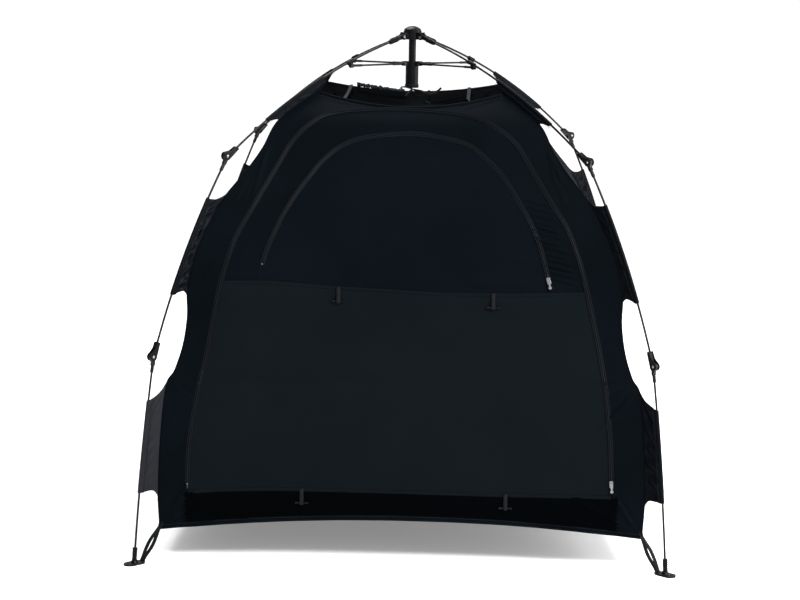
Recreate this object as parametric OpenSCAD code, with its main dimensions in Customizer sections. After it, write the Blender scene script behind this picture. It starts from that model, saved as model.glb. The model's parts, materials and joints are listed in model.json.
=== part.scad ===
// Pop-up ground blind: a square black cabin hung inside a four-leg automatic umbrella frame.
// Millimetres, +Z up, front towards -Y. Origin on the ground, under the middle of the hub.
// Each leg is drawn in its own upright plane: +X outwards, +Y along the hinge pins, +Z up.

/* [Frame] */
// Height of the top of the hub above the ground
hub_top = 1500; // [1400:10:1600]
// Distance from the middle to each foot, along the diagonal
foot_r = 1056; // [1000:4:1100]
// Diameter of the leg rods
rod_d = 6.2; // [5:0.2:8]
// Bend of the upper rod between its two ends, in degrees
upper_bend = 22; // [16:1:26]
// Bend of the middle rod, in degrees
mid_bend = 15; // [10:1:18]
// Bend of the lower rod, in degrees
lower_bend = 4.5; // [2:0.5:8]
// Distance of each elbow pin outside the rods' line
pin_offset = 5.5; // [5.4:0.1:8]

/* [Hub and runner] */
// Outer diameter of the hub cap
cap_d = 55; // [50:1:60]
// Outer diameter of the mast tube
mast_d = 22; // [20:1:24]
// Outer diameter of the runner sleeve
sleeve_d = 39; // [36:1:40]
// Length of the runner sleeve below its collar
sleeve_len = 67; // [50:1:80]

/* [Feet] */
// Diameter of the stake hole in each foot
stake_hole_d = 9; // [6:0.5:10]
// Thickness of the foot plate
foot_plate_t = 5; // [4:0.5:8]
// Length of the foot plate
foot_plate_len = 66; // [60:1:72]

/* [Canopy] */
// Thickness of the fabric solids
cloth_t = 2; // [1.5:0.1:3]
// How far the middle of each wall hangs inside a straight line between its corners
wall_sag = 14; // [5:1:20]
// Height of the canopy corners above the ground
hem_z = 86; // [60:2:100]
// Extra height of the hem at the middle of each wall
hem_arch = 36; // [20:2:50]
// Height of the roof corners
roof_z = 1314; // [1310:1:1318]
// How much lower the roof edge is at the middle of each wall
roof_dip = 40; // [30:1:45]
// Height of the seam across the door
mid_seam_z = 772; // [760:2:780]
// Height of the seam along the foot of the door
door_foot_z = 205; // [195:1:215]
// Width of the zip tapes
zip_w = 14; // [10:1:18]

/* [Hidden] */
$fn = 48;
legs = ["fl", "fr", "br", "bl"];
leg_azimuth = [225, 315, 45, 135];
hub_pin = [42, hub_top - 33];
upper_pin = [729, 1137];
lower_pin = [993, 586];
strut_pin = [256.5, 1384.5];
lug_pin = [34, 1386];
rod_r = rod_d / 2;
socket_r = 5;
cheek_in = 5.6;
cheek_out = 8.2;
pin_r = 2.5;
pin_gap = 0.06;
strut_side = 10.5;
root2 = sqrt(2);

// Height and radius of the canopy's corner seam, from the hem to the roof.
seam = [[hem_z, 965], [205, 972], [350, 965], [495, 945], [540, 912], [610, 882], [690, 867], [770, 867],
    [860, 842], [940, 797], [1010, 745], [1095, 650], [1155, 592], [1235, 530], [roof_z, 384]];
// Half of each zipped outline: distance from the middle and height.
door_half = [[598, door_foot_z], [592, 350], [576, 480], [556, 600], [530, 730], [522, mid_seam_z], [482, 900],
    [425, 1000], [370, 1100], [318, 1180], [255, 1230], [170, 1254], [0, 1262]];
window_half = [[409, mid_seam_z + 6], [406, 830], [392, 880], [366, 942], [332, 1003], [278, 1082], [228, 1135],
    [170, 1174], [90, 1192], [0, 1197]];

soft_nodes = ["front_wall", "door_panel", "lower_panel", "window_panel", "side_walls", "back_wall", "roof_panel",
    "pole_sleeves", "door_zip", "window_zip", "toggles", "tie_straps"];
leg_parts = ["hub_knuckle", "upper_pole", "strut_bracket", "upper_elbow", "strut", "mid_pole", "lower_elbow",
    "lower_pole", "foot"];

// ---- helpers: leg planes, bent rods ------------------------------------------------------------

function unit(v) = v / norm(v);
function angle_of(v) = atan2(v[1], v[0]);
// An arc from p to q that turns through bend degrees and bulges to the outer side: [centre, radius, angle at q].
function arc_of(p, q, bend) =
    let (half = norm(q - p) / 2, radius = half / sin(bend / 2), along = unit(q - p), inward = [along[1], -along[0]],
        centre = (p + q) / 2 + inward * radius * cos(bend / 2))
    [centre, radius, angle_of(q - centre), bend];
// The point on an arc at a distance from the middle of the blind, and the angle there.
function arc_angle(arc, r) = acos((r - arc[0][0]) / arc[1]);
function arc_point(arc, r, inset = 0) =
    let (a = arc_angle(arc, r)) arc[0] + (arc[1] - inset) * [cos(a), sin(a)];
// The inner side of a pin, where a rod's line passes.
function beside(pin, slope) = pin - pin_offset * [sin(slope), cos(slope)];

upper_arc = arc_of([50, 1464], beside(upper_pin, 37), upper_bend);
mid_arc = arc_of(beside(upper_pin, 56), beside(lower_pin, 71), mid_bend);
lower_arc = arc_of(beside(lower_pin, 81.5), [foot_r, 8], lower_bend);

module on_leg(l) {
    azimuth = leg_azimuth[search([l], legs)[0]];
    rotate([0, 0, azimuth]) children();
}

// A bent round bar along an arc between two angles, hollow where bore is over 0.
module arc_bar(arc, from, to, r, bore = 0, sides = 32) {
    translate([arc[0][0], 0, arc[0][1]])
        rotate([90, 0, 0])
            rotate([0, 0, from])
                rotate_extrude(angle = to - from, $fn = 360)
                    translate([arc[1], 0])
                        difference() {
                            circle(r, $fn = sides);
                            if (bore > 0) circle(bore, $fn = sides);
                        }
}

function on_arc(arc, angle) = arc[0] + arc[1] * [cos(angle), sin(angle)];
// A straight round bar between the arc's points at two angles.
module arc_chord(arc, from, to, r) {
    p = on_arc(arc, from);
    q = on_arc(arc, to);
    translate([p[0], 0, p[1]])
        rotate([0, 90 - angle_of(q - p), 0])
            cylinder(h = norm(q - p), r = r);
}

// Places children at a point of the leg plane with +Z along a direction, in degrees below the horizontal.
module aim(p, slope) {
    translate([p[0], 0, p[1]]) rotate([0, 90 + slope, 0]) children();
}

// A flat plate in the leg plane, between two distances along the pins.
module plate(y0, y1) {
    translate([0, y1, 0]) rotate([90, 0, 0]) linear_extrude(y1 - y0) children();
}

module across(p, r, y0, y1) {
    translate([p[0], y0, p[1]]) rotate([-90, 0, 0]) cylinder(h = y1 - y0, r = r);
}

// ---- hub ---------------------------------------------------------------------------------------

module hub_cap() {
    color([0.05, 0.05, 0.055])
        translate([0, 0, hub_top - 20])
            rotate_extrude($fn = 96)
                union() {
                    square([cap_d / 2, 6]);
                    intersection() {
                        translate([0, -18]) circle(38);
                        translate([0, 6]) square([cap_d / 2 - 2, 14]);
                    }
                }
}

module hub_body() {
    color([0.07, 0.07, 0.075])
        difference() {
            union() {
                translate([0, 0, 1459]) cylinder(h = 21, r = 25, $fn = 96);
                for (a = leg_azimuth) rotate([0, 0, a]) hub_ears();
            }
            translate([0, 0, 1440]) cylinder(h = 30, r = mast_d / 2 + 0.05);
            for (a = leg_azimuth) rotate([0, 0, a]) across(hub_pin, pin_r + pin_gap, -12, 12);
        }
}

// Two ears that hold one leg's pin.
module hub_ears() {
    for (side = [-1, 1])
        plate(side * 7.1 - 1.5, side * 7.1 + 1.5) {
            translate(hub_pin) circle(9);
            translate([20, 1460]) square([24, 20]);
        }
}

module hub_pins() {
    color([0.55, 0.55, 0.57])
        for (a = leg_azimuth) rotate([0, 0, a]) rivet(hub_pin, 8.8);
}

// A rivet along the pins' direction with a flat head on each end.
module rivet(p, half_len) {
    head = half_len + 0.1;
    across(p, pin_r, -head - 0.5, head + 0.5);
    across(p, pin_r + 1.6, -head - 1.2, -head);
    across(p, pin_r + 1.6, head, head + 1.2);
}

module mast_tube() {
    color([0.1, 0.1, 0.11])
        translate([0, 0, 1322])
            difference() {
                cylinder(h = 146, r = mast_d / 2, $fn = 96);
                translate([0, 0, -1]) cylinder(h = 140, r = mast_d / 2 - 1.2, $fn = 96);
            }
}

// ---- runner ------------------------------------------------------------------------------------

runner_bore = mast_d / 2 + 0.5;
collar_z = lug_pin[1] - 6.5;

module runner_collar() {
    color([0.06, 0.06, 0.065])
        difference() {
            union() {
                translate([0, 0, collar_z]) cylinder(h = 13, r = 21, $fn = 96);
                for (a = leg_azimuth)
                    rotate([0, 0, a])
                        for (side = [-1, 1])
                            plate(side * 5.6 - 1.2, side * 5.6 + 1.2) {
                                translate(lug_pin) circle(6.5);
                                translate([16, collar_z]) square([18, 13]);
                            }
            }
            translate([0, 0, collar_z - 1]) cylinder(h = 20, r = runner_bore, $fn = 96);
            for (a = leg_azimuth) rotate([0, 0, a]) across(lug_pin, 1.8 + pin_gap, -10, 10);
        }
}

module runner_sleeve() {
    color([0.09, 0.09, 0.1])
        translate([0, 0, collar_z - sleeve_len])
            difference() {
                cylinder(h = sleeve_len, r = sleeve_d / 2, $fn = 96);
                translate([0, 0, 6]) cylinder(h = sleeve_len, r = sleeve_d / 2 - 3, $fn = 96);
                translate([0, 0, -1]) cylinder(h = 8, r = runner_bore + 1, $fn = 96);
            }
}

module runner_pins() {
    color([0.5, 0.5, 0.52])
        for (a = leg_azimuth)
            rotate([0, 0, a]) across(lug_pin, 1.8, -7.6, 7.6);
}

// ---- pull cord ---------------------------------------------------------------------------------

// The cord's route from inside the sleeve, round hand-chosen points.
cord_r = 2;
cord_route = [[0, -2, 1330], [0, -2, 1318], [1, -3, 1306], [4, -7, 1297], [10, -12, 1290], [19, -16, 1287],
    [29, -16, 1289], [38, -12, 1293], [46, -5, 1295], [52, 4, 1293], [55, 14, 1288], [55, 24, 1281],
    [52, 33, 1273], [47, 40, 1265]];

function ring_at(route, i, r, sides) =
    let (n = len(route) - 1, along = unit(route[min(i + 1, n)] - route[max(i - 1, 0)]),
        side = unit(cross(along, [0.2, 1, 0.1])), up = cross(side, along))
    [for (k = [0:sides - 1]) route[i] + r * (cos(360 * k / sides) * side + sin(360 * k / sides) * up)];

module swept_tube(route, r, sides) {
    rings = len(route);
    points = [for (i = [0:rings - 1]) each ring_at(route, i, r, sides)];
    function at(i, k) = i * sides + k % sides;
    walls = [for (i = [0:rings - 2]) for (k = [0:sides - 1])
        for (t = [[at(i, k), at(i, k + 1), at(i + 1, k + 1)], [at(i, k), at(i + 1, k + 1), at(i + 1, k)]]) t];
    start = [for (k = [1:sides - 2]) [at(0, 0), at(0, k + 1), at(0, k)]];
    end = [for (k = [1:sides - 2]) [at(rings - 1, 0), at(rings - 1, k), at(rings - 1, k + 1)]];
    polyhedron(points, concat(walls, start, end));
}

module pull_cord() {
    color([0.03, 0.03, 0.03]) swept_tube(cord_route, cord_r, 8);
}

// ---- legs --------------------------------------------------------------------------------------

module hub_knuckle(l) {
    start = arc_angle(upper_arc, 62);
    end = arc_angle(upper_arc, 96);
    on_leg(l) color([0.05, 0.05, 0.055])
        difference() {
            union() {
                plate(-5.4, 5.4) {
                    translate(hub_pin) circle(7.5);
                    translate(hub_pin) rotate(-12) translate([0, -6]) square([24, 12]);
                }
                arc_bar(upper_arc, end, start, 6.4);
                for (r = [66:6:90]) {
                    a = arc_angle(upper_arc, r);
                    arc_bar(upper_arc, a - 0.045, a + 0.045, 7.6);
                }
            }
            across(hub_pin, pin_r + pin_gap, -12, 12);
            arc_bar(upper_arc, end - 0.1, arc_angle(upper_arc, 72), rod_r);
        }
}

module upper_pole(l) {
    on_leg(l) color([0.04, 0.04, 0.045])
        arc_bar(upper_arc, upper_arc[2] + 0.5, arc_angle(upper_arc, 72), rod_r);
}

module strut_bracket(l) {
    middle = arc_angle(upper_arc, strut_pin[0]);
    seat = arc_point(upper_arc, strut_pin[0]);
    on_leg(l) color([0.05, 0.05, 0.055])
        difference() {
            union() {
                arc_bar(upper_arc, middle - 0.35, middle + 0.35, 6.2);
                plate(1.6, 4.4) {
                    polygon([seat + [-11, 3], seat + [11, -6], strut_pin + [7, -2], strut_pin + [-7, -2]]);
                    translate(strut_pin) circle(7);
                }
            }
            arc_bar(upper_arc, middle - 0.5, middle + 0.5, rod_r);
        }
}

// The strut stands beside the rod at its outer end, where its eye faces the bracket.
module strut(l) {
    eye = [strut_pin[0] - lug_pin[0], strut_side];
    turn = atan2(eye[1], eye[0]);
    tilt = atan2(lug_pin[1] - strut_pin[1], eye[0]);
    on_leg(l) color([0.04, 0.04, 0.045])
        difference() {
            union() {
                across(lug_pin, 5.4, -4, 4);
                translate([lug_pin[0], 0, lug_pin[1]]) rotate([0, tilt, turn]) {
                    rotate([0, 90, 0]) cylinder(h = norm(eye) - 4, r = 2.8);
                    translate([4, 0, 0]) rotate([0, 90, 0]) cylinder(h = 44, r = 3.9);
                    translate([norm(eye) - 40, 0, 0]) rotate([0, 90, 0]) cylinder(h = 34, r = 3.8);
                }
                across(strut_pin, 6.5, strut_side - 2, strut_side + 2);
                across(strut_pin, 3.6, 6.6, strut_side + 3.4);
            }
            across(lug_pin, 1.8 + pin_gap, -10, 10);
        }
}

// Two cheeks beside a pin, joined to a socket on the end of the rod above it.
module elbow(arc, pin, slope) {
    end = arc[2];
    socket_top = end + 44 / arc[1] * 180 / PI;
    rod_end = end + 16 / arc[1] * 180 / PI;
    back = unit([-cos(slope), sin(slope)]);
    out = [-back[1], back[0]] * -1;
    root = pin - out * pin_offset + back * 22;
    tip = pin - out * pin_offset + back * 44;
    difference() {
        union() {
            for (side = [-1, 1])
                plate(side > 0 ? cheek_in : -cheek_out, side > 0 ? cheek_out : -cheek_in) {
                    translate(pin) circle(12);
                    polygon([pin + out * 11.5 + back * 3, root + out * 7, tip + out * 4.8, tip - out * 4.8,
                        root - out * 5.5, pin - out * 11.5 + back * 3]);
                }
            arc_chord(arc, rod_end, socket_top, socket_r);
            plate(-cheek_in - 0.1, cheek_in + 0.1)
                polygon([root - back * 4 + out * 2, tip + out * 3.6, tip - out * 4.4, root - back * 4 - out * 5]);
        }
        across(pin, pin_r + pin_gap, -20, 20);
        arc_chord(arc, end, socket_top + 0.1, rod_r);
    }
    rivet(pin, cheek_out);
}

// The eye and ferrule on the end of the rod below a pin.
module tongue(arc, pin, slope) {
    start = arc[2] + arc[3];
    ferrule_end = start - 44 / arc[1] * 180 / PI;
    down = [cos(slope), -sin(slope)];
    out = [sin(slope), cos(slope)];
    line = pin - out * pin_offset;
    difference() {
        union() {
            plate(-cheek_in + 0.5, cheek_in - 0.5) {
                translate(pin) circle(9.5);
                polygon([pin + out * 8.5 + down, line + out * 4.6 + down * 16, line + out * 4.6 + down * 24,
                    line - out * 4.8 + down * 24, pin - out * 9 + down * 2]);
            }
            arc_chord(arc, ferrule_end, start - 18 / arc[1] * 180 / PI, socket_r);
        }
        across(pin, pin_r + pin_gap, -20, 20);
    }
}

module upper_elbow(l) {
    on_leg(l) color([0.06, 0.06, 0.065]) elbow(upper_arc, upper_pin, 37);
}

module mid_pole(l) {
    on_leg(l) color([0.04, 0.04, 0.045]) {
        arc_bar(mid_arc, mid_arc[2] + 0.4, mid_arc[2] + mid_arc[3] - 0.7, rod_r);
        tongue(mid_arc, upper_pin, 56);
    }
}

module lower_elbow(l) {
    on_leg(l) color([0.06, 0.06, 0.065]) elbow(mid_arc, lower_pin, 71);
}

module lower_pole(l) {
    on_leg(l) color([0.04, 0.04, 0.045]) {
        arc_bar(lower_arc, lower_arc[2] + 0.03, lower_arc[2] + lower_arc[3] - 0.2, rod_r);
        tongue(lower_arc, lower_pin, 81.5);
    }
}

module foot(l) {
    on_leg(l) color([0.07, 0.07, 0.075])
        difference() {
            union() {
                translate([foot_r, 0, 0]) linear_extrude(foot_plate_t) foot_outline();
                aim([foot_r + 0.5, 2], -94) cylinder(h = 46, r = 6.2);
                for (k = [0:5]) aim([foot_r + 0.5 - 0.07 * (10 + 6 * k), 12 + 6 * k], -94) cylinder(h = 3, r = 7.4);
                translate([foot_r, 0, 0]) cylinder(h = 11, r1 = 15, r2 = 8, $fn = 64);
            }
            arc_chord(lower_arc, lower_arc[2] + 0.03, lower_arc[2] + 0.6, rod_r);
            translate([foot_r + foot_plate_len / 2 - 11, 0, -1]) cylinder(h = foot_plate_t + 2, d = stake_hole_d);
            translate([foot_r - foot_plate_len / 2 + 4, -9, -1]) cube([5, 18, foot_plate_t + 2]);
        }
}

module foot_outline() {
    square([foot_plate_len - 36, 36], center = true);
    for (side = [-1, 1]) translate([side * (foot_plate_len / 2 - 18), 0]) circle(18, $fn = 64);
}

// ---- canopy surfaces ---------------------------------------------------------------------------

function half_w(z) = lookup(z, seam) / root2;
// A point on the front wall at a distance across and a height, moved outwards by out.
function front_at(x, z, out = 0) =
    let (w = half_w(z), f = min(1, abs(x) / w)) [x, -(w - wall_sag * (1 - f * f)) - out, z];
// A point on a full wall: f from -1 to 1 across it, k counts the seam's points from the hem.
function wall_point(f, k, out = 0) =
    let (last = len(seam) - 1, z0 = seam[k][0], lift = 1 - f * f,
        z = k == 0 ? z0 + hem_arch * lift : k == last ? z0 - roof_dip * lift : z0)
    let (w = half_w(z)) [f * half_w(z0), -(w - wall_sag * lift) - out, z];
function top_edge(f) =
    let (z = roof_z - roof_dip * (1 - f * f)) half_w(z) - wall_sag * (1 - f * f);
function half_at(outline, z) = lookup(z, [for (p = outline) [p[1], p[0]]]);
// An outline's halves put together, from lower left over the top to lower right.
function arch(half) = concat([for (p = half) [-p[0], p[1]]], [for (i = [len(half) - 2:-1:0]) half[i]]);

// A thin closed sheet from a grid of points, thickened by a vector. A closed grid joins its last column to the first.
module sheet(grid, thick, closed = false) {
    rows = len(grid);
    cols = len(grid[0]);
    count = rows * cols;
    spans = closed ? cols : cols - 1;
    front = [for (row = grid) each row];
    back = [for (p = front) p + thick];
    function at(j, i) = j * cols + i % cols;
    outer = [for (j = [0:rows - 2]) for (i = [0:spans - 1])
        for (t = [[at(j, i), at(j + 1, i + 1), at(j, i + 1)], [at(j, i), at(j + 1, i), at(j + 1, i + 1)]]) t];
    inner = [for (t = outer) [t[2] + count, t[1] + count, t[0] + count]];
    rims = [for (i = [0:spans - 1])
        for (t = concat(rim(at(0, i + 1), at(0, i), count), rim(at(rows - 1, i), at(rows - 1, i + 1), count))) t];
    ends = closed ? [] : [for (j = [0:rows - 2])
        for (t = concat(rim(at(j, 0), at(j + 1, 0), count), rim(at(j + 1, cols - 1), at(j, cols - 1), count))) t];
    polyhedron(concat(front, back), concat(outer, inner, rims, ends));
}
function rim(a, b, count) = [[b, a, a + count], [b, a + count, b + count]];

// The front wall's outline and the door's, matched point by point from the middle of the hem to the roof edge.
outer_half = concat([[0, hem_z + hem_arch], [330, 112], [half_w(hem_z), hem_z]],
    [for (k = [1:len(seam) - 1]) [half_w(seam[k][0]), seam[k][0]]],
    [[180, 1291], [90, 1277], [0, roof_z - roof_dip]]);
inner_half = concat([[0, door_foot_z], [330, door_foot_z], [590, door_foot_z], [598, door_foot_z + 15]],
    [for (k = [2:11]) [half_at(door_half, seam[k][0]), seam[k][0]]],
    [[340, 1150], [300, 1200], [255, 1230], [170, 1254], [90, 1260], [0, 1262]]);

module front_wall() {
    half_count = len(outer_half);
    path = concat([for (i = [0:half_count - 1]) [i, 1]], [for (i = [half_count - 2:-1:1]) [i, -1]]);
    rows = [for (t = [1, 0.5, 0])
        [for (p = path)
            let (q = inner_half[p[0]] * (1 - t) + outer_half[p[0]] * t) front_at(q[0] * p[1], q[1])]];
    color([0.07, 0.07, 0.08]) sheet(rows, [0, cloth_t, 0], closed = true);
}

module door_panel() {
    outer = arch([for (i = [5:len(door_half) - 1]) door_half[i]]);
    inner = arch([for (i = [0, 2, 3, 4, 5, 7, 8, 9]) window_half[i]]);
    rows = [for (t = [0, 0.5, 1]) [for (i = [0:len(outer) - 1])
        let (q = inner[i] * (1 - t) + outer[i] * t) front_at(q[0], q[1])]];
    color([0.075, 0.075, 0.085]) sheet(rows, [0, cloth_t, 0]);
}

module window_panel() {
    outline = arch(window_half);
    rows = [for (t = [0, 0.34, 0.67, 1]) [for (p = outline)
        front_at(p[0], mid_seam_z + 0.01 + (p[1] - mid_seam_z) * t)]];
    color([0.06, 0.06, 0.07]) sheet(rows, [0, cloth_t, 0]);
}

module lower_panel() {
    heights = [door_foot_z, 280, 350, 420, 495, 540, 610, 690, 740, mid_seam_z];
    rows = [for (z = heights) [for (f = [-1:0.2:1]) front_at(f * half_at(door_half, z), z)]];
    color([0.12, 0.12, 0.125]) sheet(rows, [0, cloth_t, 0]);
}

module full_wall(azimuth) {
    rows = [for (k = [0:len(seam) - 1]) [for (f = [-1:0.2:1]) wall_point(f, k)]];
    rotate([0, 0, azimuth]) sheet(rows, [0, cloth_t, 0]);
}

module side_walls() {
    color([0.07, 0.07, 0.08]) {
        full_wall(90);
        full_wall(270);
    }
}

module back_wall() {
    color([0.07, 0.07, 0.08]) full_wall(180);
}

module roof_panel() {
    rows = [for (g = [-1:0.2:1]) [for (f = [-1:0.2:1])
        [f * top_edge(g), g * top_edge(f), roof_z - roof_dip * (2 - f * f - g * g)]]];
    color([0.05, 0.05, 0.06]) sheet(rows, [0, 0, -cloth_t]);
}

// ---- sleeves, zips and small trim --------------------------------------------------------------

sleeve_bore = rod_r + 1.1;
sleeve_r = sleeve_bore + 1.4;

// A fabric sleeve round part of a rod, with a web down to the corner seam between two seam points.
module pole_sleeve(arc, r0, r1, k0, k1) {
    a0 = arc_angle(arc, r0);
    a1 = arc_angle(arc, r1);
    arc_bar(arc, a1, a0, sleeve_r, sleeve_bore, 12);
    rod_side = [for (t = [0:0.25:1]) arc_point(arc, r0 + (r1 - r0) * t, sleeve_bore + 0.6)];
    seam_side = [for (k = [k0:-1:k1]) [seam[k][1], seam[k][0]]];
    backwards = [for (i = [len(seam_side) - 1:-1:0]) seam_side[i]];
    plate(-0.8, 0.8) polygon(concat(rod_side, backwards));
}

module pole_sleeves() {
    color([0.09, 0.09, 0.1])
        for (l = legs)
            on_leg(l) {
                pole_sleeve(upper_arc, 363, 579, 14, 13);
                pole_sleeve(mid_arc, 794, 924, 10, 7);
                pole_sleeve(lower_arc, 1006, 1038, 3, 1);
            }
}

// A tape along an outline on the front wall.
module zip_tape(outline) {
    n = len(outline) - 1;
    rows = [for (side = [-0.5, 0.5]) [for (i = [0:n])
        let (d = unit(outline[min(i + 1, n)] - outline[max(i - 1, 0)]), q = outline[i] + side * zip_w * [-d[1], d[0]])
        front_at(q[0], q[1], 2)]];
    sheet(rows, [0, 1.6, 0]);
}

module door_zip() {
    color([0.04, 0.04, 0.045]) zip_tape(arch([for (i = [0:len(door_half) - 1]) door_half[i] + [0, i == 0 ? 15 : 0]]));
}

module window_zip() {
    color([0.04, 0.04, 0.045]) zip_tape(arch([for (i = [1:len(window_half) - 1]) window_half[i]]));
}

door_slider_at = front_at(593, 243, 2.4);
window_slider_at = front_at(406, 806, 2.4);
door_track = front_at(577, 470, 2.4) - door_slider_at;
window_track = front_at(381, 905, 2.4) - window_slider_at;

// Stands children on a track: local +Z runs up the zip, local -Y out of the wall.
module on_track(at, track) {
    lean = asin(unit(track)[1]);
    side = atan2(track[0], track[2]);
    translate(at) rotate([-lean, side, 0]) children();
}

module zip_slider() {
    difference() {
        hull() {
            translate([-4, -5, -10]) cube([8, 4.6, 20]);
            translate([-5.5, -3.6, -6]) cube([11, 3, 14]);
        }
        translate([-3, -8, -2.4]) cube([6, 4.2, 8.8]);
    }
    translate([0, -6.2, 2]) rotate([0, 90, 0]) cylinder(h = 6, r = 1, center = true);
    for (side = [-1, 1]) translate([side * 3.6 - 0.8, -7.4, -1]) cube([1.6, 4, 6]);
}

module zip_pull() {
    translate([0, -6.2, 2])
        difference() {
            union() {
                translate([-2.4, -0.9, -26]) cube([4.8, 1.8, 27]);
                rotate([0, 90, 0]) cylinder(h = 4.8, r = 2, center = true);
                translate([0, 0.9, -22]) rotate([90, 0, 0]) cylinder(h = 1.8, r = 4.4);
            }
            rotate([0, 90, 0]) cylinder(h = 8, r = 1.08, center = true);
        }
}

module door_slider() {
    color([0.75, 0.75, 0.77]) on_track(door_slider_at, door_track) zip_slider();
}

module window_slider() {
    color([0.75, 0.75, 0.77]) on_track(window_slider_at, window_track) zip_slider();
}

module door_pull() {
    color([0.7, 0.7, 0.72]) on_track(door_slider_at, door_track) zip_pull();
}

module window_pull() {
    color([0.7, 0.7, 0.72]) on_track(window_slider_at, window_track) zip_pull();
}

// A flat webbing loop that hangs from a seam, with a bar through its lower end.
module toggle(x, z) {
    foot = front_at(x, z, 1);
    translate(foot) {
        translate([-5.5, -3, -36]) cube([11, 1.4, 38]);
        translate([-19, -5.6, -38]) rotate([0, 90, 0]) cylinder(h = 38, r = 3.6);
    }
}

module toggles() {
    color([0.05, 0.05, 0.05]) {
        toggle(-187, mid_seam_z);
        toggle(251, mid_seam_z);
        toggle(-281, door_foot_z);
        toggle(296, door_foot_z);
    }
}

// A webbing strap from each lower corner to its foot, and a loop on each roof corner.
module tie_straps() {
    low = [965, hem_z + 6];
    foot_side = [foot_r - foot_plate_len / 2 + 1, 9];
    lean = atan2(foot_side[1] - low[1], foot_side[0] - low[0]);
    length = norm(foot_side - low);
    color([0.1, 0.1, 0.11])
        for (l = legs)
            on_leg(l) {
                translate([low[0], 0, low[1]]) rotate([0, -lean, 0]) translate([0, -7.5, 0]) cube([length, 15, 2]);
                translate([356, -10, roof_z + 4]) rotate([0, 40, 0]) cube([34, 20, 2]);
            }
}

// ---- nodes -------------------------------------------------------------------------------------

hub_cap();
hub_body();
hub_pins();
mast_tube();
runner_collar();
runner_sleeve();
runner_pins();
pull_cord();
front_wall();
door_panel();
lower_panel();
window_panel();
side_walls();
back_wall();
roof_panel();
pole_sleeves();
door_zip();
window_zip();
door_slider();
window_slider();
door_pull();
window_pull();
toggles();
tie_straps();
for (l = legs) {
    hub_knuckle(l);
    upper_pole(l);
    strut_bracket(l);
    upper_elbow(l);
    strut(l);
    mid_pole(l);
    lower_elbow(l);
    lower_pole(l);
    foot(l);
}
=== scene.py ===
import json
import math
import random

import bpy
import numpy as np
from mathutils import Matrix, Vector

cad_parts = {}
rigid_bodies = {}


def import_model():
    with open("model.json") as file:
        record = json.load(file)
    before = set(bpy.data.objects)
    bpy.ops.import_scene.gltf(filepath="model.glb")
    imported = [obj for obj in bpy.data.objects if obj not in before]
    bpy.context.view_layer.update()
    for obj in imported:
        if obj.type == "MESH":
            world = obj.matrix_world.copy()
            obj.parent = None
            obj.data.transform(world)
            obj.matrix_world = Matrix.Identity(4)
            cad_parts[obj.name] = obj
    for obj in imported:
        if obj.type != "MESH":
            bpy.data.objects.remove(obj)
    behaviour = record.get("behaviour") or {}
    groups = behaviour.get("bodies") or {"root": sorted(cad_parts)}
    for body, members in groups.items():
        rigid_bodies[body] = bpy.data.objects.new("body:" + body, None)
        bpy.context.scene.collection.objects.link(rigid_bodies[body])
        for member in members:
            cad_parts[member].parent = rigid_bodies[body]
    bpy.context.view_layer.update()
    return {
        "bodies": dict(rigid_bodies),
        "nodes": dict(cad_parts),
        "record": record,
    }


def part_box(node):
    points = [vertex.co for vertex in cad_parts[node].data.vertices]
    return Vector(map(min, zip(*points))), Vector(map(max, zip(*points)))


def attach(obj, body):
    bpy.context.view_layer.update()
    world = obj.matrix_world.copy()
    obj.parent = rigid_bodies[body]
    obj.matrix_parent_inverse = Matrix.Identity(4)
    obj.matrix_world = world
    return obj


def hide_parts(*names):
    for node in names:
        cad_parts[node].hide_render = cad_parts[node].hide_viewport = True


# A pop-up ground blind: a black cabin of fabric hung inside a folding four-leg frame.
# Metres, +Z up, front towards -Y. Walls are drawn as the front wall and turned about the mast.

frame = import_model()

LEG_TURN = {"fl": 225, "fr": 315, "br": 45, "bl": 135}
WALL_TURN = {"front": 0, "right": 90, "back": 180, "left": 270}
WALL_SAG = 0.014
HEM_LIFT = 0.036
ROOF_DIP = 0.040
BACK_DIP = 0.028
CLOTH = 0.0011

# The zipped door and window, from the lower left over the top to the lower right, as (x, z).
DOOR_ARCH = [(-0.605, 0.205), (-0.600, 0.34), (-0.577, 0.485), (-0.554, 0.604), (-0.532, 0.729),
             (-0.516, 0.803),
             (-0.482, 0.91), (-0.433, 1.0), (-0.377, 1.1), (-0.335, 1.173), (-0.278, 1.228), (-0.206, 1.254),
             (-0.066, 1.264), (0.062, 1.261), (0.148, 1.253), (0.234, 1.23), (0.308, 1.18), (0.361, 1.1),
             (0.413, 1.018), (0.455, 0.955), (0.486, 0.881), (0.510, 0.799), (0.537, 0.686), (0.559, 0.584),
             (0.576, 0.477), (0.588, 0.353), (0.593, 0.243), (0.595, 0.205)]
WINDOW_ARCH = [(-0.414, 0.788), (-0.404, 0.839), (-0.382, 0.904), (-0.339, 0.994), (-0.282, 1.076),
               (-0.231, 1.134),
               (-0.169, 1.174), (-0.084, 1.193), (0.021, 1.199), (0.096, 1.190), (0.171, 1.172), (0.226,
                                                                                                  1.133),
               (0.277, 1.083), (0.33, 1.003), (0.367, 0.937), (0.39, 0.87), (0.406, 0.806), (0.412, 0.769)]
MID_SEAM = [(-0.52, 0.787), (-0.385, 0.789), (-0.186, 0.776), (0.105, 0.764), (0.3, 0.765), (0.415, 0.769),
            (0.515, 0.773)]
FOOT_SEAM = [(-0.605, 0.196), (-0.5, 0.204), (-0.352, 0.208), (-0.019, 0.206), (0.271, 0.203), (0.595, 0.205)]


# ---- lines and surfaces ----

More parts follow.
